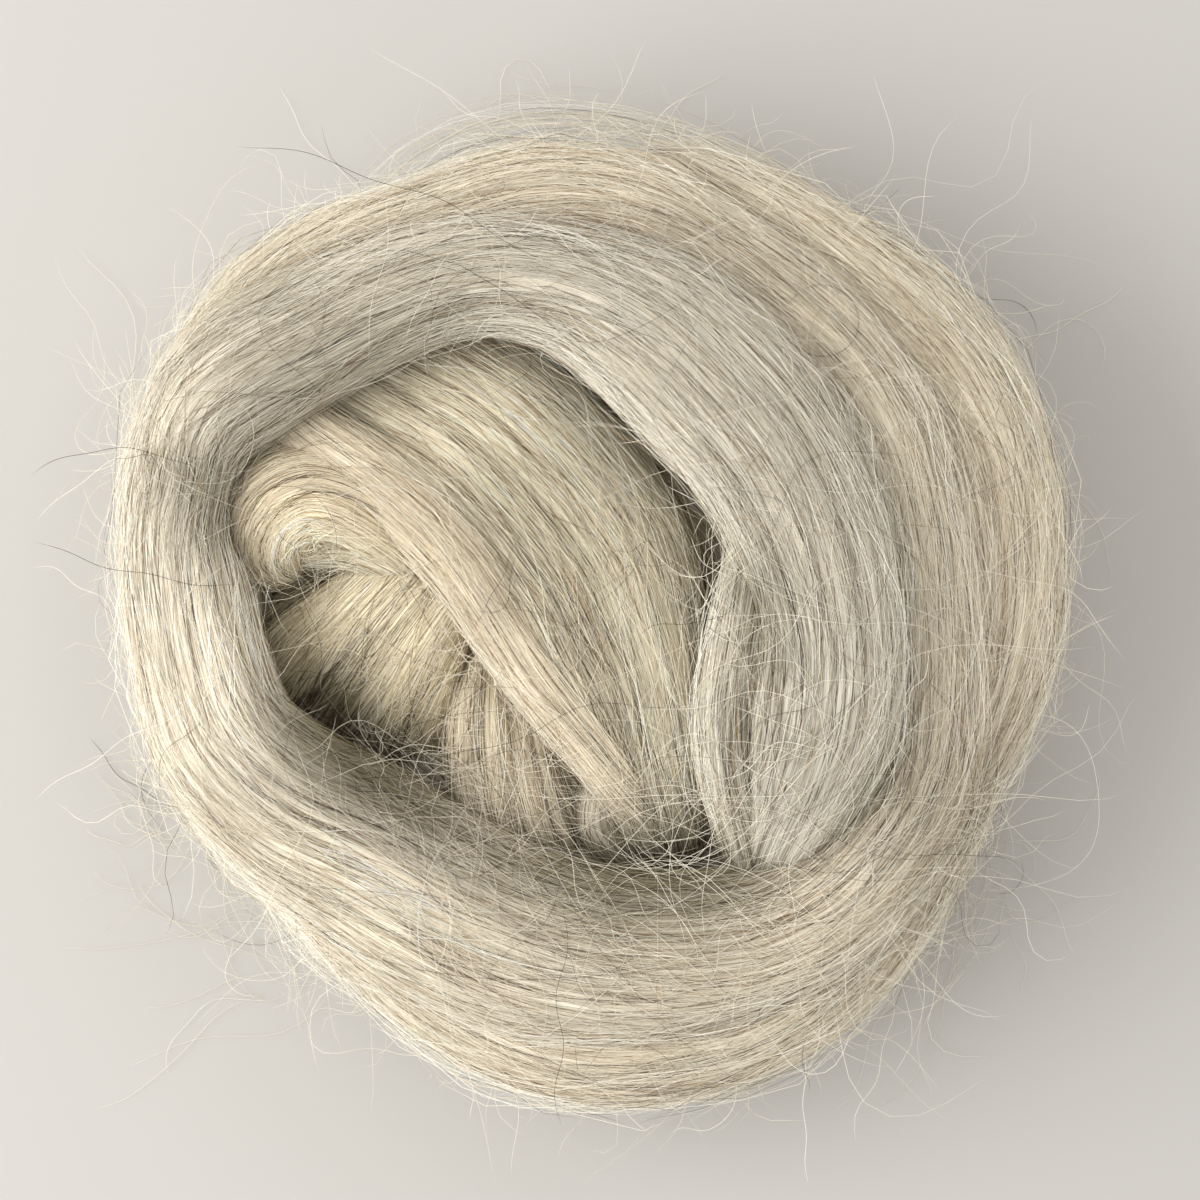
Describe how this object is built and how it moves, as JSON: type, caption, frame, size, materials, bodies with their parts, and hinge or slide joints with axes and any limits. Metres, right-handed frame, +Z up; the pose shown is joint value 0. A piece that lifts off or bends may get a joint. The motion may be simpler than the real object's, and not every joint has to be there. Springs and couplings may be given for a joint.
{
  "type": "wool roving nest",
  "caption": "Nest of combed wool roving: one long soft strand wound into a low round coil, with a strap of it crossing the hollow and tucked in.",
  "frame": {"origin": "centre of the part's box at the surface it rests on", "axes": "+Z up, the coil's axis; +Y towards the strand's feathered outer end"},
  "size_m": [0.1355, 0.1437, 0.055],
  "materials": {
    "wool": "undyed light grey-cream wool fibre, soft and matt with a faint sheen along the strand"
  },
  "bodies": {
    "root": {"wool_roving": "wool"}
  },
  "joints": []
}
